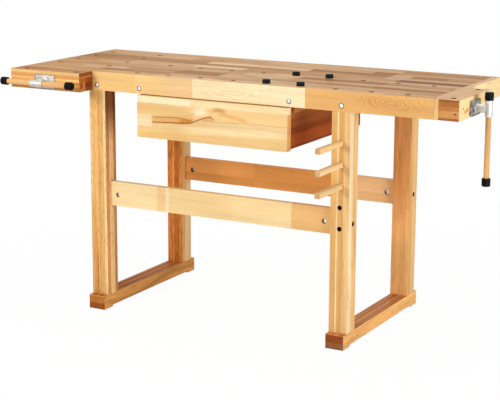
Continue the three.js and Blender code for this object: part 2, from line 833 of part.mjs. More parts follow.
const frontVise = makeVise({
  name: 'front_vise',
  jawThickness: frontJawThickness,
  jawLength: frontJawLength,
  screwInset: frontScrewInset,
  boardThickness: apronThickness,
  dogPlaces: dogColumns,
  dogDepth: frontJawDogDepth,
  barAxis: 'x',
  capNames: ['left', 'right'],
  rodNames: ['left', 'right'],
});
frontVise.position.set(frontScrewInset, 0, viseAxisLevel);

const tailVise = makeVise({
  name: 'tail_vise',
  jawThickness: tailJawThickness,
  jawLength: tailJawLength,
  screwInset: tailScrewInset,
  boardThickness: endCapThickness,
  dogPlaces: dogRows,
  dogDepth: tailJawDogDepth,
  barAxis: 'z',
  capNames: ['lower', 'upper'],
  rodNames: ['front', 'rear'],
});
tailVise.position.set(endCapFace, tailScrewInset, viseAxisLevel);
tailVise.rotation.z = Math.PI / 2;

// The origin is the middle of the footprint, on the floor
const bounds = new THREE.Box3().setFromObject(bench);
const middle = bounds.getCenter(new THREE.Vector3());
bench.position.set(-middle.x, -middle.y, -bounds.min.z);

const woodworkingBench = new THREE.Group();
woodworkingBench.add(bench);

export default woodworkingBench;
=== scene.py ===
import json
from functools import partial
from math import pi, radians

import bpy
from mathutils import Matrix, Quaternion, Vector


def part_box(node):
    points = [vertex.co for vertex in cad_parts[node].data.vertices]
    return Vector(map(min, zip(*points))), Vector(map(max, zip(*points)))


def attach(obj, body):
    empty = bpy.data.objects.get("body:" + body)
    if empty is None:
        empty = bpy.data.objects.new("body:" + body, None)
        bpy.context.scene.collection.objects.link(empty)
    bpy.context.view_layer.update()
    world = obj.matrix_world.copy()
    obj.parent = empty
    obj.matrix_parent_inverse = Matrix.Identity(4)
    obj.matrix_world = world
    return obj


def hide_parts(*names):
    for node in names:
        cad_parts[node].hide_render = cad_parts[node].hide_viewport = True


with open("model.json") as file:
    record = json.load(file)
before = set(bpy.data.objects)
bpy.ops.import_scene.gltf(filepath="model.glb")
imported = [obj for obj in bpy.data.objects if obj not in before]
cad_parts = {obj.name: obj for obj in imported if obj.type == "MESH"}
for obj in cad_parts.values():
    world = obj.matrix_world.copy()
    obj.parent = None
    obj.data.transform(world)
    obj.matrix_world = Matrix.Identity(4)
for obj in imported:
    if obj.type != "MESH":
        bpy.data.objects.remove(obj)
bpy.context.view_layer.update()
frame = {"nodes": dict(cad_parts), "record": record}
nodes = frame["nodes"]
record = frame["record"]
openings = {hole["name"]: hole["box_m"] for hole in record["physics"]["openings"]}
bodyOf = {node: body for body, names in record["behaviour"]["bodies"].items() for node in names}
mm = 0.001
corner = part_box("front_apron")[0]
benchStart = Vector((corner[0], corner[1], 0))  # left end and front face of the top, on the floor
print("frame loaded:", len(nodes), "nodes")


def linear(hexTone):  # sRGB hex to linear colour
    channels = [int(hexTone[i:i + 2], 16) / 255 for i in (1, 3, 5)]
    return [c / 12.92 if c <= 0.04045 else ((c + 0.055) / 1.055) ** 2.4 for c in channels] + [1.0]


def addNode(tree, kind, inputs=None, stops=None, **settings):  # inputs are values, sockets or whole nodes
    node = tree.nodes.new("ShaderNode" + kind)
    for name, value in settings.items():
        setattr(node, name, value)
    for socket, value in (inputs or {}).items():
        if isinstance(value, bpy.types.Node):
            value = value.outputs[0]
        if isinstance(value, bpy.types.NodeSocket):
            tree.links.new(value, node.inputs[socket])
        else:
            node.inputs[socket].default_value = value
    for i, (place, tone) in enumerate(stops or []):
        ramp = node.color_ramp
        stop = ramp.elements[i] if i < 2 else ramp.elements.new(place)
        stop.position = place
        stop.color = tone
    return node


def emptyMaterial(name):  # and what adds nodes to it
    material = bpy.data.materials.new(name)
    material.use_nodes = True
    material.node_tree.nodes.clear()
    return material, partial(addNode, material.node_tree)


# Lacquered beech, glued up from staves: soft satin gloss, pale and dark staves with thin glue
# lines, growth rings drawn out along the grain, fine short flecks and a redder end grain.
# Places on a board are mm from the left end, front face and foot of the bench.
grainTurns = {"x": (0, 0, 0), "y": (0, 0, -pi / 2), "z": (0, pi / 2, 0)}
whole = 6000  # mm, longer than any board, so that it stays one stave
beechGrain = {  # what every board has unless it says otherwise; widths and lengths in mm
    "stave": (whole, whole, whole), "shift": (0, 0, 0),
    "staveLengths": (0.7, 1.4),  # from strip to strip, how many times more or fewer staves
    "staveSlide": 7,  # staves by which a strip may start further on
    "layers": [], "strokes": [], "eyes": [],
    "pithSpread": (0.6, 0.16, 0.16),  # m, how far off the pith of a stave may lie
    "wander": (0, 0.03, 0.03), "wanderScale": 1.6,  # m that the pith strays, and how often in a metre
    "ringWidth": 4.5,
    "ringDrawn": 0.035,  # how far rings close up along the grain
    "fibreWidth": 1.6, "fibreLength": 60,  # coarser than real fibres so that they show
    "streakWidth": 9, "streakLength": 380,
    "fleckWidth": 1.3, "fleckLength": 9,  # real ray flecks are about 1 mm by 5 mm
    "fleckReach": 0.3,  # of the way from one fleck to the next
    "mottleWidth": 45, "mottleLength": 330,
    "mottle": 0.09, "mottleRange": (0.3, 0.7),  # share by which broad patches are lighter or darker
    "contrast": 1,
    "rings": (0.55, 0.75, 0.2), "streaks": (0.5, 0.8, 0.3), "fibres": (0.5, 0.8, 0.2),  # start, end and weight
    "flecks": 0.3, "fleckFacing": None,
    "glueLine": 0.7, "glue": 0.45,
    "endShare": 0.8, "endRange": (0.7, 0.95),
    "late": "#b9713a", "fleckTone": "#96561f", "glueTone": "#8a5230", "endTone": "#a9643a",
    "rough": (0.38, 0.56), "coat": 0.08, "coatRoughness": 0.3, "bump": (0.25, 0.25),
}
facingReach = (0.65, 0.75)  # how much a face has to look along an axis before it counts
strokeWaver = (16, 5)  # mm, size and reach of a stroke's wavering
strokeEdge = (0.25, 0.75)  # of a stroke's width, where it starts to fade and where it ends
eyeRings = {"waver": 3, "from": -0.4}  # rings by which an eye wavers, and where each starts to darken


def bands(axis, stops, facing=None, within=None, share=0.85):  # where tones start along an axis of a board
    return dict(axis=axis, stops=stops, facing=facing, within=within, share=share)


def stroke(line, width, tone, share=0.8, soft=2, along="X", facing="Y"):  # a line or patch on a board's face
    return dict(line=line, width=width, tone=tone, share=share, soft=soft, along=along, facing=facing)


def drawStrokes(add, bench, facing, strokes):  # shares and tones of strokes that waver a little, as grain does
    shades = []
    size, reach = strokeWaver
    waver = add("TexNoise", {"Vector": bench, "Scale": 1 / (size * mm), "Detail": 2})
    moved = add("VectorMath", {0: waver.outputs["Color"], 1: (0.5, 0.5, 0.5)}, operation="SUBTRACT")
    moved = add("VectorMath", {0: moved, 1: [reach * mm] * 3, 2: bench}, operation="MULTIPLY_ADD")
    place = add("SeparateXYZ", {0: moved})
    for mark in strokes:
        line = mark["line"]
        first, last = line[0][0], line[-1][0]
        low, high = min(z for at, z in line) - 1, max(z for at, z in line) + 1
        across = place.outputs[mark["along"]]
        along = add("MapRange", {"Value": across, "From Min": first * mm, "From Max": last * mm})
        course = add("ValToRGB", {0: along}, stops=[
            ((at - first) / (last - first), [(z - low) / (high - low)] * 3 + [1]) for at, z in line])
        height = add("MapRange", {"Value": course, "To Min": low * mm, "To Max": high * mm})
        gap = add("Math", {0: place.outputs["Z"], 1: height}, operation="SUBTRACT")
        gap = add("Math", {0: gap}, operation="ABSOLUTE")
        width = mark["width"] * mm
        beside = add("MapRange", {
            "Value": gap, "From Min": width * strokeEdge[0], "From Max": width * strokeEdge[1],
            "To Min": mark["share"], "To Max": 0})
        past = add("Math", {0: across, 1: (first + last) / 2 * mm}, operation="SUBTRACT")
        past = add("Math", {0: past}, operation="ABSOLUTE")
        half = (last - first) / 2
        ends = add("MapRange", {
            "Value": past, "From Min": (half - mark["soft"]) * mm, "From Max": half * mm,
            "To Min": 1, "To Max": 0})
        share = add("Math", {0: beside, 1: ends}, operation="MULTIPLY")
        shades.append((facingShare(add, facing, mark["facing"], share), linear(mark["tone"])))
    return shades


def facingShare(add, facing, axis, share):  # only on the faces that look along an axis
    turned = add("Math", {0: facing.outputs[axis]}, operation="ABSOLUTE")
    return add("MapRange", {
        "Value": turned, "From Min": facingReach[0], "From Max": facingReach[1], "To Max": share})


def eyeShade(add, bench, eye):  # share and tone of rings round an eye in the wood, drawn out along the board
    x, z = eye["spot"]
    fromEye = add("VectorMath", {0: bench, 1: (x * mm, 0, z * mm)}, operation="SUBTRACT")
    drawn = add("VectorMath", {0: fromEye, 1: (eye["drawn"], 0, 1)}, operation="MULTIPLY")
    waver = add("TexNoise", {"Vector": drawn, "Scale": 1 / (eye["waver"] * mm), "Detail": 1})
    reach = add("VectorMath", {0: drawn}, operation="LENGTH")
    swing = eye["ring"] * eyeRings["waver"] * mm
    wavered = add("Math", {0: waver, 1: swing, 2: reach.outputs["Value"]}, operation="MULTIPLY_ADD")
    turns = add("Math", {0: wavered, 1: 2 * pi / (eye["ring"] * mm)}, operation="MULTIPLY")
    rings = add("Math", {0: turns}, operation="SINE")
    depth = add("MapRange", {
        "Value": reach.outputs["Value"], "From Max": eye["reach"] * mm, "To Min": eye["share"], "To Max": 0})
    share = add("MapRange", {"Value": rings, "From Min": eyeRings["from"], "To Max": depth})
    return share, linear(eye["tone"])


def beech(name, board, seed):
    g = {**beechGrain, **board}
    material, add = emptyMaterial(name)
    coords = add("TexCoord")
    bench = add("VectorMath", {0: coords.outputs["Object"], 1: benchStart}, operation="SUBTRACT")
    place = add("SeparateXYZ", {0: bench})
    facing = add("SeparateXYZ", {0: coords.outputs["Normal"]})
    start = [whole / 2 if size == whole else move for size, move in zip(g["stave"], g["shift"])]
    along = add("Mapping", {
        "Vector": bench, "Rotation": grainTurns[g["grain"]], "Location": [v * mm for v in start]})

    # Staves: each strip has its own stave length and start, each stave its own tone
    staveSize = [v * mm for v in g["stave"]]
    cells = add("VectorMath", {0: along, 1: staveSize}, operation="DIVIDE")
    rows = add("VectorMath", {0: cells}, operation="FLOOR")
    rowSeed = add("VectorMath", {0: rows, 1: (0, 1, 1), 2: (seed, 0, 0)}, operation="MULTIPLY_ADD")
    rowNoise = add("TexWhiteNoise", {"Vector": rowSeed})
    rowLength = add("MapRange", {
        "Value": rowNoise, "To Min": g["staveLengths"][0], "To Max": g["staveLengths"][1]})
    rowScale = add("CombineXYZ", {0: rowLength, 1: 1, 2: 1})
    rowSlide = add("VectorMath", {0: rowNoise.outputs["Color"], 1: (g["staveSlide"], 0, 0)}, operation="MULTIPLY")
    slid = add("VectorMath", {0: cells, 1: rowScale, 2: rowSlide}, operation="MULTIPLY_ADD")
    stave = add("VectorMath", {0: slid}, operation="FLOOR")
    staveSeed = add("VectorMath", {0: stave, 1: (seed, 0.5, 0.25)}, operation="ADD")
    staveNoise = add("TexWhiteNoise", {"Vector": staveSeed})
    tones = g["tones"]
    colour = add("ValToRGB", {0: staveNoise},
                 stops=[(i / len(tones), linear(tone)) for i, tone in enumerate(tones)])
    colour.color_ramp.interpolation = "CONSTANT"

    # Boards whose joints show have their own tones from place to place, laid over the staves; a few of these tones
    # are painted shade
    shades = []
    for layer in g["layers"]:
        low = layer["stops"][0][0]
        last, tone = layer["stops"][-1]
        high = last + 10
        joints = layer["stops"] + [(high, tone)]
        span = add("MapRange", {"Value": place.outputs[layer["axis"]], "From Min": low * mm, "From Max": high * mm})
        patch = add("ValToRGB", {0: span}, stops=[((at - low) / (high - low), linear(tone)) for at, tone in joints])
        patch.color_ramp.interpolation = "CONSTANT"
        share = layer["share"]
        if layer["within"]:
            axis, bottom, top = layer["within"]
            inside = add("Math", {
                0: place.outputs[axis], 1: (bottom + top) / 2 * mm, 2: (top - bottom) / 2 * mm},
                operation="COMPARE")
            share = add("Math", {0: inside, 1: share}, operation="MULTIPLY")
        if layer["facing"]:
            share = facingShare(add, facing, layer["facing"], share)
        shades.append((share, patch))
    if g["strokes"]:
        shades += drawStrokes(add, bench, facing, g["strokes"])
    shades += [eyeShade(add, bench, eye) for eye in g["eyes"]]
    for share, tone in shades:
        colour = add("Mix", {"Factor": share, "A": colour, "B": tone}, data_type="RGBA").outputs["Result"]

    # Growth rings round a pith that wanders along the stave
    wander = add("TexNoise", {"Vector": along, "Scale": g["wanderScale"], "Detail": 1})
    pith = add("VectorMath", {
        0: staveNoise.outputs["Color"], 1: g["pithSpread"], 2: [-v / 2 for v in g["pithSpread"]]},
        operation="MULTIPLY_ADD")
    wandered = add("VectorMath", {0: wander.outputs["Color"], 1: g["wander"], 2: pith}, operation="MULTIPLY_ADD")
    toPith = add("VectorMath", {0: along, 1: wandered}, operation="ADD")
    drawn = add("VectorMath", {0: toPith, 1: (g["ringDrawn"], 1, 1)}, operation="MULTIPLY")
    radius = add("VectorMath", {0: drawn}, operation="LENGTH")
    ringCount = add("Math", {0: radius.outputs["Value"], 1: 1 / (g["ringWidth"] * mm)}, operation="MULTIPLY")
    rings = add("TexNoise", {"W": ringCount, "Scale": 1, "Detail": 2}, noise_dimensions="1D")

    # Broad patches, streaks, fibres and short flecks, all drawn out along the grain
    finer = {}
    for part in ("fibre", "streak", "fleck", "mottle"):
        length, width = (g[part + size] * mm for size in ("Length", "Width"))
        stretch = (1 / length, 1 / width, 1 / width)
        finer[part] = add("VectorMath", {0: toPith, 1: stretch}, operation="MULTIPLY")
    fibre = add("TexNoise", {"Vector": finer["fibre"], "Scale": 1, "Detail": 3})
    streak = add("TexNoise", {"Vector": finer["streak"], "Scale": 1, "Detail": 3})
    fleck = add("TexVoronoi", {"Vector": finer["fleck"], "Scale": 1})
    reach = g["fleckReach"]
    fleckMask = add("MapRange", {
        "Value": fleck, "From Min": reach / 2, "From Max": reach, "To Min": 1, "To Max": 0})
    mottle = add("TexNoise", {"Vector": finer["mottle"], "Scale": 1, "Detail": 2})
    depth = g["mottle"]
    low, high = g["mottleRange"]
    patches = add("MapRange", {
        "Value": mottle, "From Min": low, "From Max": high, "To Min": 1 - depth, "To Max": 1 + depth})
    colour = add("HueSaturation", {"Value": patches, "Color": colour})

    # Each figure darkens the stave towards the latewood tone
    shades = []
    for figure, (low, high, weight) in ((rings, g["rings"]), (streak, g["streaks"]), (fibre, g["fibres"])):
        weight *= g["contrast"]
        share = add("MapRange", {"Value": figure, "From Min": low, "From Max": high, "To Max": weight})
        shades.append((share, linear(g["late"])))
    flecked = add("Math", {0: fleckMask, 1: g["flecks"]}, operation="MULTIPLY")
    if g["fleckFacing"]:
        flecked = facingShare(add, facing, g["fleckFacing"], flecked)
    shades.append((flecked, linear(g["fleckTone"])))

    # Thin glue lines round each stave
    part = add("VectorMath", {0: slid}, operation="FRACTION")
    fromEdge = add("VectorMath", {0: part, 1: staveSize}, operation="MULTIPLY")
    edges = add("SeparateXYZ", {0: fromEdge})
    nearest = add("Math", {0: edges.outputs[1], 1: edges.outputs[2]}, operation="MINIMUM")
    nearest = add("Math", {0: nearest, 1: edges.outputs[0]}, operation="MINIMUM")
    glue = add("MapRange", {"Value": nearest, "From Max": g["glueLine"] * mm, "To Min": g["glue"], "To Max": 0})
    shades.append((glue, linear(g["glueTone"])))
    for share, tone in shades:
        colour = add("Mix", {"Factor": share, "A": colour, "B": tone}, data_type="RGBA").outputs["Result"]

    # End grain takes more lacquer and turns redder
    endOn = add("Math", {0: facing.outputs[g["grain"].upper()]}, operation="ABSOLUTE")
    low, high = g["endRange"]
    endShare = add("MapRange", {"Value": endOn, "From Min": low, "From Max": high, "To Max": g["endShare"]})
    colour = add("Mix", {"Factor": endShare, "A": colour, "B": linear(g["endTone"])},
                 data_type="RGBA", blend_type="MULTIPLY").outputs["Result"]

    smooth, dull = g["rough"]
    rough = add("MapRange", {"Value": streak, "To Min": smooth, "To Max": dull})
    height = add("Math", {0: fibre, 1: fleckMask}, operation="SUBTRACT")
    strength, depth = g["bump"]
    bump = add("Bump", {"Height": height, "Strength": strength, "Distance": depth * mm})
    shader = add("BsdfPrincipled", {
        "Base Color": colour, "Roughness": rough, "Normal": bump, "IOR": 1.5,
        "Specular IOR Level": 0, "Coat Weight": g["coat"], "Coat Roughness": g["coatRoughness"]})
    add("OutputMaterial", {"Surface": shader})
    return material


# Plain finishes. Each has two tones in clouds, and a finer grain that the light catches. Clouds and grain
# have a size in mm and a detail, the ramp says where the tones part, and the bump has a strength and mm.
drilled = {  # bare beech inside a drilled hole: torn fibres and no lacquer, made darker still by painted shade
    "clouds": (3, 3), "grain": (3, 3), "ramp": (0.35, 0.7), "bump": (0.4, 0.3), "rough": (0.85, 0.85),
    "shine": {"Specular IOR Level": 0.1}}
zinc = {  # zinc-plated steel: a pale cold metal with clouded plating and fine drawn scratches
    "clouds": (14, 4), "grain": (0.5, 2), "ramp": (0.35, 0.65), "bump": (0.12, 0.05), "rough": (0.36, 0.58),
    "roughIn": "clouds", "shine": {"Metallic": 0.8}}
moulded = {  # moulded rubber and plastic: nearly black, with a fine moulded grain and a dull shine
    "clouds": (9, 4), "ramp": (0.45, 0.75), "bump": (0.2, 0.1)}
finishes = {
    # hole walls carry painted shade: dark tones for most holes, a lighter copy for the dog holes and front nut
    # pockets
    "hole": {**drilled, "name": "drilledBeech", "tones": ("#3c2010", "#6a4024")},
    "pocket": {**drilled, "name": "boredBeech", "tones": ("#84552e", "#a9743f")},
    "zinc_steel": {**zinc, "name": "zincPlatedSteel", "tones": ("#bcb8b1", "#cfccc6")},
    # a lighter copy of the zinc: painted light, for the bright reflection of bolts and nuts
    "polished_steel": {**zinc, "name": "polishedZincSteel", "tones": ("#e6e1d8", "#f6f2ea")},
    # a darker copy of the zinc: painted shade and reflection, for the tail plate and one barrel nut
    "dulled_steel": {**zinc, "name": "dulledZincSteel", "tones": ("#5f5a55", "#b3b1ad")},
    "cap_rubber": {
        **moulded, "name": "mouldedRubber", "tones": ("#050505", "#0d0d0c"), "grain": (1.2, 3),
        "rough": (0.28, 0.53), "shine": {"Specular IOR Level": 0.07}},
    "dog_plastic": {
        **moulded, "name": "mouldedPlastic", "tones": ("#080707", "#12110f"), "grain": (0.9, 3),
        "rough": (0.3, 0.55), "shine": {"Specular IOR Level": 0.14}},
}


def plainFinish(finish):
    material, add = emptyMaterial(finish["name"])
    coords = add("TexCoord")
    noise = {}
    for part in ("clouds", "grain"):
        size, detail = finish[part]
        noise[part] = add("TexNoise", {
            "Vector": coords.outputs["Object"], "Scale": 1 / (size * mm), "Detail": detail})
    tone = add("ValToRGB", {0: noise["clouds"]},
               stops=[(at, linear(tone)) for at, tone in zip(finish["ramp"], finish["tones"])])
    smooth, dull = finish["rough"]
    rough = add("MapRange", {"Value": noise[finish.get("roughIn", "grain")], "To Min": smooth, "To Max": dull})
    strength, depth = finish["bump"]
    bump = add("Bump", {"Height": noise["grain"], "Strength": strength, "Distance": depth * mm})
    shader = add("BsdfPrincipled", {"Base Color": tone, "Roughness": rough, "Normal": bump, **finish["shine"]})
    add("OutputMaterial", {"Surface": shader})
    return material


finishes = {slot: plainFinish(finish) for slot, finish in finishes.items()}
smoothAngle = radians(35)  # edges sharper than this stay sharp


# Working by hand: one piece at a time is selected
def only(piece):
    bpy.ops.object.select_all(action="DESELECT")
    piece.select_set(True)
    bpy.context.view_layer.objects.active = piece


def useModifier(piece, kind, **settings):
    only(piece)
    modifier = piece.modifiers.new(kind.lower(), kind)
    for name, value in settings.items():
        setattr(modifier, name, value)
    bpy.ops.object.modifier_apply(modifier=modifier.name)


def combine(piece, tool, operation):  # boolean with a tool that is used up and leaves its own finish
    useModifier(piece, "BOOLEAN", object=tool, operation=operation, solver="EXACT", material_mode="TRANSFER")
    bpy.data.objects.remove(tool)


def camelName(nodeName):
    first, *rest = nodeName.split("_")
    return first + "".join(word.capitalize() for word in rest)


def softenEdges(piece, width, angle=40):
    useModifier(piece, "BEVEL", width=width * mm, segments=2, limit_method="ANGLE", angle_limit=radians(angle))
    only(piece)
    bpy.ops.object.shade_smooth_by_angle(angle=smoothAngle)
    useModifier(piece, "WEIGHTED_NORMAL", keep_sharp=True)


def dress(piece, finish):
    piece.data.materials.clear()
    piece.data.materials.append(finish)


def settle(piece, nodeName):
    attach(piece, bodyOf[nodeName])
    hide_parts(nodeName)


def middleOf(name):  # middle of a frame solid or of a stated opening
    low, high = openings[name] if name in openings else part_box(name)
    return (Vector(low) + Vector(high)) / 2


def reachOf(nodeName, axis):  # lowest and highest place along an axis, mm
    return [corner["XYZ".index(axis)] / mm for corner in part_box(nodeName)]


def endOf(nodeName, axis, sign):  # middle of the face at the lower or upper end of an axis
    spot = middleOf(nodeName)
    spot["XYZ".index(axis)] = reachOf(nodeName, axis)[sign > 0] * mm
    return spot


def placed():  # the piece just added, with its place, turn and size applied
    bpy.ops.object.transform_apply(location=True, rotation=True, scale=True)
    return bpy.context.active_object


axisTurns = {"X": (0, pi / 2, 0), "Y": (pi / 2, 0, 0), "Z": (0, 0, 0)}
roundSides = 48


def roundTool(spots, axis, radius, start, end):  # cylinders along an axis, joined into one tool
    made = []
    for spot in spots:
        middle = Vector(spot)
        middle["XYZ".index(axis)] = (start + end) / 2 * mm
        bpy.ops.mesh.primitive_cylinder_add(vertices=roundSides, radius=radius * mm, depth=abs(end - start) * mm,
                                            location=middle, rotation=axisTurns[axis])
        made.append(bpy.context.active_object)
    only(made[0])
    for tool in made[1:]:
        tool.select_set(True)
    if len(made) > 1:
        bpy.ops.object.join()
    return placed()


# Boards: each is its frame solid with merged faces, round holes drilled clean and edges eased
pale = ["#f1d49d", "#eec88b", "#ecc284", "#f3d9ab"]
golden = ["#edc685", "#e9ba76", "#f0cd92", "#e5b26c"]
orange = ["#dd9c58", "#d18d4a", "#e3a765", "#c98245"]
topTones = {"cream": "#e3c298", "pale": "#d9b58a", "sand": "#d0a87c", "tan": "#c89d71", "mid": "#be9064",
            "brown": "#b18356", "dark": "#a07145", "walnut": "#8a5436"}
topStrips = [  # each strip's reach from the front, mm, then where its staves start and how dark they are
    (30, 58, [(0, "tan"), (290, "sand"), (560, "pale"), (1110, "sand")]),
    (58, 104, [(0, "sand"), (275, "brown"), (550, "tan"), (915, "pale"), (1110, "sand"), (1420, "tan")]),
    (104, 155, [(0, "tan"), (165, "pale"), (350, "mid"), (545, "dark"), (725, "sand"), (915, "mid"),
                (1130, "brown"), (1290, "dark")]),
    (155, 190, [(0, "sand"), (160, "tan"), (560, "brown"), (725, "pale"), (960, "sand")]),
    (190, 240, [(0, "tan"), (560, "sand"), (705, "tan"), (775, "pale"), (985, "dark"), (1300, "mid")]),
    (240, 280, [(0, "mid"), (140, "sand"), (300, "tan"), (555, "mid"), (870, "sand"), (960, "tan"),
                (1280, "sand")]),
    (280, 337, [(0, "mid"), (260, "sand"), (520, "cream"), (725, "mid"), (1300, "walnut")]),
    (337, 382, [(0, "brown"), (890, "mid"), (1240, "pale")]),
    (382, 435, [(0, "brown"), (525, "cream"), (930, "dark"), (1240, "sand"), (1310, "dark"), (1440, "mid")]),
    (435, 484, [(0, "sand"), (430, "mid"), (560, "tan"), (800, "sand"), (1148, "dark"), (1240, "tan")]),
    (484, 532, [(0, "sand"), (430, "tan"), (720, "sand"), (1240, "brown")]),
    (532, 600, [(0, "sand"), (300, "tan"), (560, "sand"), (1240, "brown")])]
endBlocks = ["#e9b677", "#a85a28", "#d79a5b", "#8f4a20", "#e0a868", "#b96c36"]
apronBolts = [n for n in nodes if n.startswith("apron_bolt")]
topHoles = [n for n in openings if n.startswith("dog_hole")] + [n for n in nodes if n.startswith("bench_dog")]
pegHoles = ["peg_hole_lower", "peg_hole_upper"] + [n for n in nodes if n.startswith("tool_peg")]
legStock = {"grain": "z", "stave": (whole, 21, 17), "shift": (0, 4, 5)}
footStock = {"grain": "y", "stave": (whole, 33, 60), "shift": (0, 5, 20), "tones": orange, "late": "#8f5526",
             "fleckWidth": 9, "fleckLength": 60}
bearerStock = {"grain": "y", "stave": (whole, 23, 60), "tones": orange}
railStock = {"grain": "y", "stave": (whole, whole, 40), "tones": orange, "endShare": 0.2}
pegStock = {"grain": "y", "tones": ["#e3c08a", "#e6c490", "#e0ba82"], "endShare": 0.3}
seeds = range(3, 60, 2)  # each board has its own, in their order, and the last is the tommy bars'
boardEase = 1.2  # mm off every edge
drillPast = 5  # mm that a drill runs past a face
drill = {"dog": 9.6, "head": 8.6, "peg": 8.1, "nut": 8.4, "screw": 2.7}  # mm, radius of each hole


def bore(where, size, into, depth=None, finish="hole"):  # at named pieces or at spots; without depth, right through
    return dict(where=where, radius=drill[size], into=into, depth=depth, finish=finish)


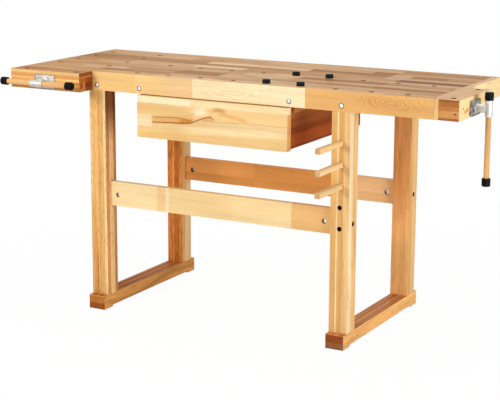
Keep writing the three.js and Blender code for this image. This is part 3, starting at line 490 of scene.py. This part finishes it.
boards = {
    "worktop": {
        "grain": "x", "stave": (whole, 48, whole), "shift": (0, -2, 0), "tones": list(topTones.values()),
        "late": "#7d4a22", "contrast": 2, "streakWidth": 22, "streakLength": 500, "mottleWidth": 60,
        "slot": "worktop_beech",
        "layers": [bands("X", [(at, topTones[tone]) for at, tone in staves], facing="Z", within=("Y", low, high),
            share=0.92) for low, high, staves in topStrips],
        "holes": [bore(topHoles, "dog", "Z", finish="pocket")]},
    "front_apron": {
        "grain": "x", "tones": golden, "contrast": 0.5,
        "layers": [
            bands("X", [(0, "#e7be7c"), (463, "#ebc488"), (575, "#e8c392"), (690, "#f0e0b8"), (1113, "#dca868")]),
            bands("X", [(0, "#cfa177"), (230, "#c79a6e"), (520, "#dcb48a"), (800, "#cfa178"), (1120, "#d6ad83"),
                (1380, "#c6976c")], facing="Z"),
            # painted shade: the underside over the drawer, darker and redder to warm the shaded gap
            bands("X", [(0, "#b5722f")], facing="Z", within=("Z", 770, 800))],
        "eyes": [
            {"spot": (1411, 824), "drawn": 0.32, "ring": 6, "reach": 46, "waver": 16, "share": 0.6,
                "tone": "#b06a2a"},
            {"spot": (850, 812), "drawn": 0.24, "ring": 10, "reach": 48, "waver": 20, "share": 0.32,
                "tone": "#cf9c55"}],
        "holes": [bore(apronBolts, "head", "+Y", 5.1)]},
    "rear_apron": {
        "grain": "x", "stave": (700, whole, 33), "tones": golden,
        "layers": [
            bands("X", [(0, "#b98a63"), (420, "#c7996f"), (900, "#b38259"), (1250, "#c09068")], facing="Z")]},
    "end_cap": {
        "grain": "y", "tones": pale, "contrast": 0.5, "endShare": 0.15,
        "layers": [
            bands("Y", [(0, "#d8b088"), (300, "#deb990")], facing="Z"),
            bands("Y", [(-10, "#f5e0b0"), (420, "#efd7a2")], facing="X")],
        "holes": [bore([(1570, 460, 843)], "screw", "-X", 6)]},
    "left_front_leg": {
        **legStock, "stave": (whole, 17, 17), "tones": golden, "contrast": 1.3, "late": "#b06f30",
        "fleckWidth": 7, "fleckLength": 30, "flecks": 0.25, "fleckReach": 0.5,
        "layers": [
            bands("X", [(270, "#ecd096"), (284, "#e2b270"), (308, "#dba05a"), (314, "#e1ac68"), (330, "#f1dcaa")]),
            bands("Y", [(0, "#d48c44"), (20.5, "#f0c88c"), (46.5, "#b86e34")], facing="X")],
        "strokes": [
            # painted shade: the right face darker towards the top, where the drawer and worktop shade it
            stroke([(-20, 790), (90, 790)], 250, "#6a2c14", along="Y", facing="X"),
            stroke([(260, 110), (303, 110)], 420, "#d28d42", share=0.65, soft=3),
            stroke([(297, 90), (304, 90)], 260, "#a8672c", share=0.7)],
        "holes": [bore(["front_stretcher_bolt_left"], "head", "+X", 12.1)]},
    "right_front_leg": {
        **legStock, "tones": golden, "contrast": 1.3, "fleckWidth": 6, "fleckLength": 50, "flecks": 0.2,
        "layers": [
            bands("X", [(1180, "#e6b978"), (1196, "#f1d29c"), (1211, "#deac68"), (1231.5, "#f5dcaa"),
                (1236.5, "#d6a35f"), (1256.5, "#e7c28a")]),
            bands("Y", [(0, "#eddbb1"), (26.5, "#d4a769"), (28.5, "#e0b67c")], facing="X")],
        "holes": [bore(["front_stretcher_bolt_right"], "head", "-X", 12.1), bore(pegHoles, "peg", "+Y", 26.4)]},
    "left_rear_leg": {
        **legStock, "tones": orange, "contrast": 1.6, "mottle": 0.15, "fleckWidth": 7,
        "fleckLength": 40, "flecks": 0.6, "fleckReach": 0.55, "fleckFacing": "Y", "late": "#8a4c20",
        "layers": [
            bands("X", [(270, "#d07c38"), (298.5, "#e49d54"), (303.5, "#c47230"), (326.5, "#de9247")]),
            bands("Y", [(500, "#e6bb7c"), (531.5, "#efd09a")], facing="X")],
        "holes": [bore(["rear_stretcher_bolt_left"], "head", "+X", 12.1)]},
    "right_rear_leg": {
        **legStock, "tones": orange, "contrast": 1.4, "mottle": 0.13, "fleckWidth": 7,
        "fleckLength": 60, "flecks": 0.2, "fleckReach": 0.5, "fleckFacing": "Y",
        "layers": [
            bands("X", [(1200, "#e09e5c"), (1226.5, "#f0b272"), (1230.5, "#e5a262"), (1258.5, "#ebab69")]),
            bands("Y", [(500, "#dfb375"), (536.5, "#e3bb80")], facing="X")],
        "strokes": [stroke([(1180, 170), (1290, 170)], 330, "#efbf7c", share=0.55)],
        "holes": [bore(["rear_stretcher_bolt_right"], "head", "-X", 12.1)]},
    "left_foot": {
        **footStock, "endTone": "#d0aa84", "contrast": 1.6, "mottle": 0.18, "flecks": 0.5,
        "layers": [
            bands("X", [(200, "#c08a5c"), (286, "#a8602f"), (303, "#c58a52"), (315, "#9c5a2c"), (326, "#c08048")],
                facing="Z"),
            bands("X", [(200, "#e0aa66"), (300, "#e0a65f")], facing="X"),
            bands("Z", [(0, "#a8682f"), (22, "#d29a58"), (44, "#e0ac68")], facing="Y")]},
    "right_foot": {
        **footStock, "endTone": "#c89a70", "contrast": 1.2, "mottle": 0.15, "flecks": 0.3,
        "layers": [
            bands("X", [(1100, "#c08a5c"), (1215, "#c4824c"), (1229, "#b06c3a"), (1241, "#cb915c"),
                (1253, "#b57242")], facing="Z"),
            bands("X", [(1100, "#f2be7c"), (1200, "#f4bd76")], facing="X"),
            bands("Z", [(0, "#a48265"), (22, "#995c36"), (42, "#9c5a32")], facing="Y")]},
    "left_top_bearer": bearerStock, "right_top_bearer": bearerStock,
    "front_stretcher": {
        "grain": "x", "tones": pale, "contrast": 0.45,
        "layers": [
            bands("X", [(340, "#ecd3a1"), (534, "#e8c18d"), (568, "#eedaab"), (582, "#eaca92"), (830, "#eccf9a"),
                (1056.5, "#dfae70")])],
        "holes": [bore(["front_barrel_nut_left", "front_barrel_nut_right"], "nut", "+Y", 18.4, finish="pocket")]},
    "rear_stretcher": {
        "grain": "x", "tones": orange,
        "layers": [
            bands("X", [(340, "#e6a25c"), (640.5, "#df9c57"), (1060, "#f7cd98")]),
            bands("X", [(340, "#d28f4d"), (640.5, "#d99551"), (1060, "#f2c48d")], within=("Z", 370, 409))],
        "holes": [bore(["rear_barrel_nut_left", "rear_barrel_nut_right"], "nut", "+Y", 18.4)]},
    "left_drawer_rail": railStock, "right_drawer_rail": railStock,
    "drawer_front": {
        "grain": "x", "tones": pale, "endShare": 0, "contrast": 0.7,
        "layers": [
            bands("Z", [(630, "#e3be82"), (679, "#e4bd83"), (719, "#e7c389"), (759, "#efdcb0")]),
            bands("X", [(470, "#eed9ac"), (538, "#e6c48d"), (760, "#e8c993"), (880, "#e9cb96")],
                within=("Z", 679, 719)),
            bands("X", [(470, "#f2e1ba"), (690, "#eacf9e")], within=("Z", 759, 790)),
            bands("X", [(470, "#f0c27c")], facing="Z"),
            bands("Z", [(630, "#dda25f"), (759, "#f5dfae")], facing="X")],
        "strokes": [
            stroke([(640, 676), (800, 682), (1058, 690)], 22, "#f4e0b0", share=0.5, soft=60),
            stroke([(440, 645), (700, 650)], 30, "#dcb064", share=0.5, soft=60),
            stroke([(440, 738), (600, 737), (690, 730)], 30, "#dcb26c", share=0.5, soft=40),
            stroke([(538, 703), (640, 708), (672, 708.5), (705, 712)], 20, "#e3a964", soft=8),
            stroke([(636, 707), (672, 707), (708, 712)], 15, "#d2863f", share=0.9, soft=24),
            stroke([(690, 738), (730, 744), (765, 747)], 22, "#fbefcd", share=0.7, soft=25),
            stroke([(740, 716), (762, 721), (786, 720)], 11, "#dc9a58", share=0.6, soft=10),
            stroke([(538, 694), (600, 697), (672, 700.5), (699, 706), (734, 719), (760, 728), (776, 729)], 4.5,
                "#94521f", share=0.85, soft=4),
            stroke([(538, 712.6), (600, 715), (640, 717.5), (655, 715.5), (705, 709)], 3.6, "#a9652c", share=0.7,
                soft=16),
            stroke([(770, 729), (778, 726), (784, 718)], 3.6, "#94521f", share=0.7),
            stroke([(736, 716), (798, 714), (851, 716.5), (1060, 718)], 2, "#bb7a42", share=0.65),
            stroke([(772, 752), (800, 756), (834, 752)], 13, "#bd7a3c", share=0.65, soft=16),
            stroke([(796, 744), (850, 735), (915, 724)], 13, "#d8954c", share=0.5, soft=16),
            stroke([(660, 722), (700, 731), (716, 742)], 8, "#e0a058", share=0.5, soft=9)]},
    "drawer_side_left": {"grain": "y", "stave": (whole, whole, 34), "tones": orange},
    "drawer_side_right": {
        "grain": "y", "stave": (whole, whole, 34), "tones": orange,
        "layers": [
            # painted shade: the side's laminated strips, darker and redder where the worktop shades them
            bands("Z", [(630, "#822f13"), (652, "#9d431a"), (690, "#7e3013"), (712, "#8d4222"), (745, "#a55c2f")],
                facing="X", share=0.92)]},
    "drawer_back": {"grain": "x", "stave": (whole, whole, 40), "tones": golden},
    "drawer_bottom": {"grain": "x", "tones": pale},
    "tool_peg_lower": pegStock, "tool_peg_middle": pegStock, "tool_peg_upper": pegStock,
    "front_vise_jaw": {
        "grain": "x", "stave": (whole, 20, 22), "shift": (0, 5, 7), "tones": endBlocks, "endShare": 0,
        "layers": [
            bands("Z", [(770, "#d19150"), (797, "#c27c3b"), (798.5, "#d8995a"), (815, "#d99c5c"),
                (820.5, "#ebc484"), (825.5, "#dd9a58"), (836, "#d8a568"), (840, "#ecca86")], facing="Y"),
            bands("X", [(-400, "#b5865f"), (120, "#be9069")], facing="Z"),
            bands("Z", [(770, "#b5713a"), (797, "#a85f30"), (815, "#a05a22"), (832, "#c58350"), (836, "#8e5226")],
                facing="X", share=1),
            bands("Y", [(-90, "#b5713a"), (-42, "#7f3d1c")], facing="X", within=("Z", 770, 797), share=0.9),
            bands("Y", [(-90, "#c07a44"), (-74, "#8a4310"), (-60, "#c4764a"), (-44, "#6c2a0f")], facing="X",
                within=("Z", 797, 815), share=0.9),
            bands("Y", [(-90, "#a8621f"), (-38, "#8f3e17")], facing="X", within=("Z", 815, 832), share=0.9)],
        "strokes": [stroke([(228, 811), (291, 813)], 6, "#8a4f1e", share=0.75)],
        "holes": [bore(["front_jaw_dog_hole_left", "front_jaw_dog_hole_right"], "dog", "Z")]},
    "tail_vise_jaw": {
        "grain": "y", "stave": (whole, 34, 22), "shift": (0, 5, 7), "tones": golden, "endShare": 0,
        "contrast": 0.7,
        "layers": [
            bands("Y", [(-10, "#e3c996"), (110, "#dcbf8a"), (300, "#e2c89b")], facing="X"),
            bands("Z", [(770, "#85431a"), (793, "#c4854c"), (815, "#a8632f"), (828, "#985420"), (843, "#763711")],
                facing="Y"),
            bands("Y", [(0, "#dab28a"), (300, "#dfb98f")], facing="Z")],
        "strokes": [
            stroke([(40, 806), (95, 814.5)], 12, "#c98a45", soft=14, along="Y", facing="X"),
            stroke([(122, 844), (172, 848)], 14, "#b98143", soft=16, along="Y", facing="X")],
        "holes": [
            bore(["tail_jaw_dog_hole_front", "tail_jaw_dog_hole_rear"], "dog", "Z"),
            bore([(1638, 37, 820)], "screw", "-X", 6),
            bore([(1625, 0, 807)], "screw", "+Y", 6)]},
    "front_vise_guide_block": {"grain": "x", "stave": (whole, whole, 40), "tones": golden},
    "tail_vise_guide_block": {"grain": "y", "stave": (whole, whole, 40), "tones": golden},
}


def mergedCopy(nodeName):  # a frame solid's shape, with its loose triangles merged into flat faces
    piece = bpy.data.objects.new(camelName(nodeName), nodes[nodeName].data.copy())
    bpy.context.scene.collection.objects.link(piece)
    only(piece)
    bpy.ops.object.mode_set(mode="EDIT")
    bpy.ops.mesh.select_all(action="SELECT")
    bpy.ops.mesh.remove_doubles(threshold=0.02 * mm)
    bpy.ops.mesh.dissolve_limited(angle_limit=radians(0.5))
    bpy.ops.object.mode_set(mode="OBJECT")
    return piece


def drillHoles(piece, nodeName, hole):  # from the face that the drill enters, or right through
    axis = hole["into"][-1]
    low, high = reachOf(nodeName, axis)
    depth = hole["depth"] or high - low + drillPast
    start, end = (high - depth, high + drillPast) if hole["into"][0] == "-" else (low - drillPast, low + depth)
    spots = [middleOf(at) if isinstance(at, str) else benchStart + Vector(at) * mm for at in hole["where"]]
    tool = roundTool(spots, axis, hole["radius"], start, end)
    dress(tool, finishes[hole["finish"]])
    combine(piece, tool, "DIFFERENCE")


for seed, (nodeName, board) in zip(seeds, boards.items()):
    piece = mergedCopy(nodeName)
    dress(piece, beech("beech_" + camelName(nodeName), board, seed))
    for hole in board.get("holes", []):
        drillHoles(piece, nodeName, hole)
    softenEdges(piece, boardEase)
    settle(piece, nodeName)
print("boards eased:", len(boards))


# Turned pieces: a profile of (radius, along) in mm is drawn out, spun round and set on its axis
def drawProfile(profile):  # a plane merged to one vertex, moved to the start and extruded from point to point
    bpy.ops.mesh.primitive_plane_add(size=mm)
    bpy.ops.object.mode_set(mode="EDIT")
    bpy.ops.mesh.select_all(action="SELECT")
    bpy.ops.mesh.merge(type="CENTER")
    last = Vector((profile[0][0], 0, profile[0][1])) * mm
    bpy.ops.transform.translate(value=last)
    for radius, along in profile[1:]:
        point = Vector((radius, 0, along)) * mm
        bpy.ops.mesh.extrude_region_move(TRANSFORM_OT_translate={"value": point - last})
        last = point
    return bpy.context.active_object


def turnedPiece(name, profile, place, out, edge=0.4):
    piece = drawProfile(profile)
    piece.name = name
    bpy.ops.mesh.select_all(action="SELECT")
    bpy.ops.mesh.spin(steps=roundSides, angle=2 * pi, center=(0, 0, 0), axis=(0, 0, 1))
    closeMesh()
    standUp(piece, place, out)
    if edge:
        softenEdges(piece, edge, 30)
    return piece


def chamferedRod(half, radius, chamfer):  # profile of a rod that reaches as far to either side
    return [(0, -half), (radius - chamfer, -half), (radius, -half + chamfer), (radius, half - chamfer),
            (radius - chamfer, half), (0, half)]


def closeMesh():
    bpy.ops.mesh.select_all(action="SELECT")
    bpy.ops.mesh.remove_doubles(threshold=0.01 * mm)
    bpy.ops.mesh.fill_holes(sides=0)
    bpy.ops.mesh.select_all(action="SELECT")
    bpy.ops.mesh.normals_make_consistent(inside=False)
    bpy.ops.object.mode_set(mode="OBJECT")


def standUp(piece, place, out):
    piece.rotation_euler = Vector(out).to_track_quat("Z", "Y").to_euler()
    piece.location = place
    only(piece)
    placed()


def settleFitting(piece, nodeName, slot, finish=None):
    dress(piece, finishes[finish or slot])
    settle(piece, nodeName)


# Vise screws: journal, collar, neck and hub with a cross sleeve, and a thread behind the jaw
viseScrew = {
    "head": [(9.2, 4.7), (15.6, 4.7), (15.8, 7.6), (12.2, 8.4), (12.2, 20), (14.2, 21), (14.2, 40), (13, 42),
             (0, 42.6)],
    "journal": 9.2, "sleeveRadius": 11.5, "sleeveLength": 51, "barBore": 9.3,
    "threadCrest": 9, "threadRoot": 7.5, "lead": 6, "turns": 37, "steps": 24, "lap": 3, "ease": 0.6,
}
vises = {
    "front_vise": {
        "axis": "Y", "out": (0, -1, 0), "bar": "X", "caps": ("left", "right"), "rods": ("left", "right"),
        "plateFinish": "zinc_steel", "barTones": ["#dcae74", "#e1b57e"]},
    "tail_vise": {
        "axis": "X", "out": (1, 0, 0), "bar": "Z", "caps": ("lower", "upper"), "rods": ("front", "rear"),
        # the tail plate takes the darker zinc: painted shade and reflection
        "plateFinish": "dulled_steel", "barTones": ["#c99d66", "#cda36e"]},
}


def threadPiece(place, out):  # one lead of the profile, wound up by the Screw modifier
    v = viseScrew
    profile = [(v["threadRoot"], 0), (v["threadRoot"], 0.2), (v["threadCrest"], 0.42), (v["threadCrest"], 0.62),
               (v["threadRoot"], 0.84), (v["threadRoot"], 1)]
    piece = drawProfile([(radius, share * v["lead"]) for radius, share in profile])
    bpy.ops.object.mode_set(mode="OBJECT")
    useModifier(piece, "SCREW", angle=2 * pi, screw_offset=v["lead"] * mm, iterations=v["turns"] - 1,
                steps=v["steps"], render_steps=v["steps"], axis="Z")
    bpy.ops.object.mode_set(mode="EDIT")
    closeMesh()
    standUp(piece, place, out)
    return piece


for vise, fit in vises.items():
    v = viseScrew
    out = Vector(fit["out"])
    sign = out["XYZ".index(fit["axis"])]
    face = reachOf(vise + "_jaw", fit["axis"])[sign > 0]
    tip = abs(face - reachOf(vise + "_screw", fit["axis"])[sign < 0])
    threadTop = tip - v["lead"] * v["turns"]
    origin = middleOf(vise + "_plate")
    origin["XYZ".index(fit["axis"])] = face * mm
    profile = [(0, -threadTop - v["lap"]), (v["journal"], -threadTop - v["lap"])] + v["head"]
    piece = turnedPiece(camelName(vise + "_screw"), profile, origin, out, edge=0)
    sleeve = middleOf(vise + "_handle")
    middle = origin["XYZ".index(fit["bar"])] / mm
    half = v["sleeveLength"] / 2
    combine(piece, roundTool([sleeve], fit["bar"], v["sleeveRadius"], middle - half, middle + half), "UNION")
    combine(piece, roundTool([sleeve], fit["bar"], v["barBore"], middle - 2 * half, middle + 2 * half),
            "DIFFERENCE")
    softenEdges(piece, v["ease"], 35)
    combine(piece, threadPiece(origin - out * tip * mm, out), "UNION")
    only(piece)
    bpy.ops.object.shade_smooth_by_angle(angle=smoothAngle)
    settleFitting(piece, vise + "_screw", "zinc_steel")
print("vise screws turned")

# Tommy bars of turned beech, a little slimmer at the ends, with a rubber cap pressed on each
tommyBar = {"radius": 9, "endRadius": 8.6, "taper": 40}
rubberCap = [  # socket for the bar, then the outside from the mouth to the end
    (0, 20), (9.1, 20), (9.1, 0), (12.9, 0), (13.7, 0.8), (14, 2.6), (14, 22), (13.3, 24.8), (11.4, 26.5), (0, 27)]
for vise, fit in vises.items():
    bar = vise + "_handle"
    low, high = reachOf(bar, fit["bar"])
    half = (high - low) / 2
    t = tommyBar
    profile = [(0, -half), (t["endRadius"], -half), (t["radius"], -half + t["taper"]),
               (t["radius"], half - t["taper"]), (t["endRadius"], half), (0, half)]
    along = Vector((1, 0, 0)) if fit["bar"] == "X" else Vector((0, 0, 1))
    piece = turnedPiece(camelName(bar), profile, middleOf(bar), along, edge=0.8)
    look = {"grain": fit["bar"].lower(), "tones": fit["barTones"]}
    dress(piece, beech("beech_" + camelName(bar), look, seeds[-1]))
    settle(piece, bar)
    for sign, side in zip((-1, 1), fit["caps"]):
        cap = vise + "_cap_" + side
        mouth = endOf(cap, fit["bar"], -sign)
        settleFitting(turnedPiece(camelName(cap), rubberCap, mouth, along * sign, edge=0.3), cap, "cap_rubber")
print("tommy bars and caps turned")

# Guide rods, bench dogs, bolts and barrel nuts
guideRod = {"radius": 9, "chamfer": 1.2}
for vise, fit in vises.items():
    for side in fit["rods"]:
        rod = vise + "_guide_rod_" + side
        low, high = reachOf(rod, fit["axis"])
        profile = chamferedRod((high - low) / 2, guideRod["radius"], guideRod["chamfer"])
        settleFitting(turnedPiece(camelName(rod), profile, middleOf(rod), fit["out"]), rod, "zinc_steel")

benchDog = {  # the shank from its foot up, and the head from its top down
    "shank": [(0, 0), (7.6, 0), (9, 1.6)],
    "head": [(9, -14.8), (12.9, -14.8), (13.5, -14), (13.5, -5), (12.8, -2.6), (11.3, -0.9), (8.6, 0), (0, 0)]}
for dog in [n for n in nodes if n.startswith("bench_dog")]:
    low, high = reachOf(dog, "Z")
    profile = benchDog["shank"] + [(radius, high - low + down) for radius, down in benchDog["head"]]
    piece = turnedPiece(camelName(dog), profile, endOf(dog, "Z", -1), (0, 0, 1), edge=0.3)
    settleFitting(piece, dog, "dog_plastic")

bolt = {"shank": 4, "head": 6.5, "headHeight": 6, "crown": 1.8, "flat": 4.2, "chamfer": 0.8, "socket": 2.4,
        "socketDepth": 3, "ease": 0.3}
boltFaces = {"apron_bolt": ("Y", -1), "stretcher_bolt_left": ("X", -1), "stretcher_bolt_right": ("X", 1)}
for nodeName in [n for n in nodes if "_bolt_" in n]:
    axis, sign = next(face for words, face in boltFaces.items() if words in nodeName)
    low, high = reachOf(nodeName, axis)
    length = high - low
    out = Vector((sign, 0, 0)) if axis == "X" else Vector((0, sign, 0))
    tip = endOf(nodeName, axis, -sign)
    b = bolt
    neck = length - b["headHeight"]
    profile = [(0, 0), (b["shank"] - b["chamfer"], 0), (b["shank"], b["chamfer"]), (b["shank"], neck),
               (b["head"], neck), (b["head"], length - b["crown"]), (b["head"] - 0.5, length - b["chamfer"]),
               (b["flat"], length), (0, length)]
    piece = turnedPiece(camelName(nodeName), profile, tip, out, edge=0)
    bpy.ops.mesh.primitive_cylinder_add(vertices=6, radius=b["socket"] * mm, depth=2 * b["socketDepth"] * mm,
                                        location=tip + out * length * mm, rotation=axisTurns[axis])
    combine(piece, placed(), "DIFFERENCE")
    softenEdges(piece, b["ease"])
    # bolts take the lighter zinc: painted light for their bright reflection
    settleFitting(piece, nodeName, "zinc_steel", "polished_steel")

barrelNut = {"radius": 8, "chamfer": 1.5, "bore": 4.05, "slotWidth": 2.6, "slotDepth": 2.4, "ease": 0.25}
for nodeName in [n for n in nodes if "barrel_nut" in n]:
    low, high = reachOf(nodeName, "Y")
    half = (high - low) / 2
    middle = middleOf(nodeName)
    r = barrelNut["radius"]
    profile = chamferedRod(half, r, barrelNut["chamfer"])
    out = Vector((0, -1, 0))
    piece = turnedPiece(camelName(nodeName), profile, middle, out, edge=0)
    combine(piece, roundTool([middle], "X", barrelNut["bore"], middle.x / mm - 2 * r, middle.x / mm + 2 * r),
            "DIFFERENCE")
    bpy.ops.mesh.primitive_cube_add(size=mm, location=middle + out * half * mm,
                                    scale=(4 * r, 2 * barrelNut["slotDepth"], barrelNut["slotWidth"]))
    combine(piece, placed(), "DIFFERENCE")
    softenEdges(piece, barrelNut["ease"])
    # painted shade and reflection: the rear left nut's face darkened as it mirrors the bench's dark underside
    dull = nodeName == "rear_barrel_nut_left"
    settleFitting(piece, nodeName, "zinc_steel", "dulled_steel" if dull else "polished_steel")
print("rods, dogs, bolts and nuts made")

# Vise plates with rounded corners, and vise nuts with eased edges
visePlate = {"corner": 6, "ease": 0.7, "bore": 9.9, "nutEase": 1}
for vise, fit in vises.items():
    plate = vise + "_plate"
    low, high = (Vector(corner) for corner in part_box(plate))
    bpy.ops.mesh.primitive_cube_add(size=1, location=(low + high) / 2, scale=high - low)
    piece = placed()
    piece.name = camelName(plate)
    across = "XYZ".index(fit["axis"])
    for edge in piece.data.edges:
        ends = [piece.data.vertices[i].co for i in edge.vertices]
        edge.select = abs(ends[0][across] - ends[1][across]) > mm
    bpy.ops.object.mode_set(mode="EDIT")
    bpy.ops.mesh.select_mode(type="EDGE")
    bpy.ops.mesh.bevel(offset=visePlate["corner"] * mm, segments=6)
    bpy.ops.object.mode_set(mode="OBJECT")
    start, end = reachOf(plate, fit["axis"])
    tool = roundTool([middleOf(plate)], fit["axis"], visePlate["bore"], start - drillPast, end + drillPast)
    combine(piece, tool, "DIFFERENCE")
    softenEdges(piece, visePlate["ease"])
    settleFitting(piece, plate, "zinc_steel", fit["plateFinish"])
    nut = mergedCopy(vise + "_nut")
    softenEdges(nut, visePlate["nutEase"])
    settleFitting(nut, vise + "_nut", "zinc_steel")
print("finishes:", len(bpy.data.materials), "all nodes replaced:", all(n.hide_render for n in nodes.values()))

# Studio: pale floor, white behind, and soft lamps on the right, at the front left, behind and above
studio = {
    "floorSize": 14, "floorTone": "#f4f3f1", "floorWhite": 0.97, "shadowReach": (0.8, 2.2),
    "worldStrength": 0.33,
    "lamps": {
        "rightLamp": {"place": (2.5, -0.9, 0.75), "aim": (0.3, 0, 0.6), "size": 1.5, "power": 38},
        "frontLamp": {"place": (-1.1, -2.5, 1.7), "aim": (0, 0, 0.6), "size": 0.8, "power": 43},
        "rearLamp": {"place": (-1.5, 3.5, 1.8), "aim": (0, 0, 0.6), "size": 2.5, "power": 40},
        "topLamp": {"place": (-0.1, 0.3, 3.2), "aim": (0, 0, 0.8), "size": 3, "power": 36},
    },
}
bpy.ops.mesh.primitive_plane_add(size=studio["floorSize"], location=(0, 0, -0.5 * mm))
floor = placed()
floor.name = "studioFloor"
paper, add = emptyMaterial("paperFloor")
seen = add("LightPath")
glossy = add("Math", {0: seen.outputs["Is Camera Ray"], 1: seen.outputs["Is Glossy Ray"]}, operation="MAXIMUM")
glow = add("Emission", {"Color": (1, 1, 1, 1), "Strength": 1})
matt = add("BsdfDiffuse", {"Color": linear(studio["floorTone"])})
coords = add("TexCoord")
away = add("VectorMath", {0: coords.outputs["Object"]}, operation="LENGTH")
near, far = studio["shadowReach"]
white = add("MapRange", {
    "Value": away.outputs["Value"], "From Min": near, "From Max": far, "To Min": studio["floorWhite"]})
share = add("Math", {0: glossy, 1: white}, operation="MULTIPLY")
both = add("MixShader", {0: share, 1: matt, 2: glow})
add("OutputMaterial", {"Surface": both})
floor.data.materials.append(paper)

world = bpy.data.worlds.new("studioAir")
bpy.context.scene.world = world
world.use_nodes = True
world.node_tree.nodes.clear()
add = partial(addNode, world.node_tree)
seen = add("LightPath")
direct = add("Math", {0: seen.outputs["Is Camera Ray"], 1: seen.outputs["Is Glossy Ray"]}, operation="MAXIMUM")
direct = add("Math", {0: direct, 1: seen.outputs["Is Transmission Ray"]}, operation="MAXIMUM")
level = add("MapRange", {"Value": direct, "To Min": studio["worldStrength"]})
air = add("Background", {"Color": (1, 1, 1, 1), "Strength": level})
add("OutputWorld", {"Surface": air})
for lampName, lamp in studio["lamps"].items():
    bpy.ops.object.light_add(type="AREA", location=lamp["place"])
    light = bpy.context.active_object
    light.name = lampName
    light.data.energy = lamp["power"]
    light.data.size = lamp["size"]
    light.visible_camera = False
    aim = Vector(lamp["aim"]) - light.location
    light.rotation_euler = aim.to_track_quat("-Z", "Y").to_euler()

# Camera at the photograph's place, 28.5 degrees round to the right
camera = {"place": (2.3393, -4.3960, 1.5270), "forward": (-0.4662, 0.8572, -0.2186), "roll": 0.264,
          "lens": 105.53, "sensor": 36}
bpy.ops.object.camera_add(location=camera["place"])
eye = bpy.context.active_object
eye.rotation_mode = "QUATERNION"
eye.rotation_quaternion = (Vector(camera["forward"]).to_track_quat("-Z", "Y")
                           @ Quaternion((0, 0, 1), radians(camera["roll"])))
eye.data.lens = camera["lens"]
eye.data.sensor_width = camera["sensor"]
bpy.context.scene.camera = eye
bpy.context.scene.view_settings.view_transform = "Standard"
print("studio and camera set")
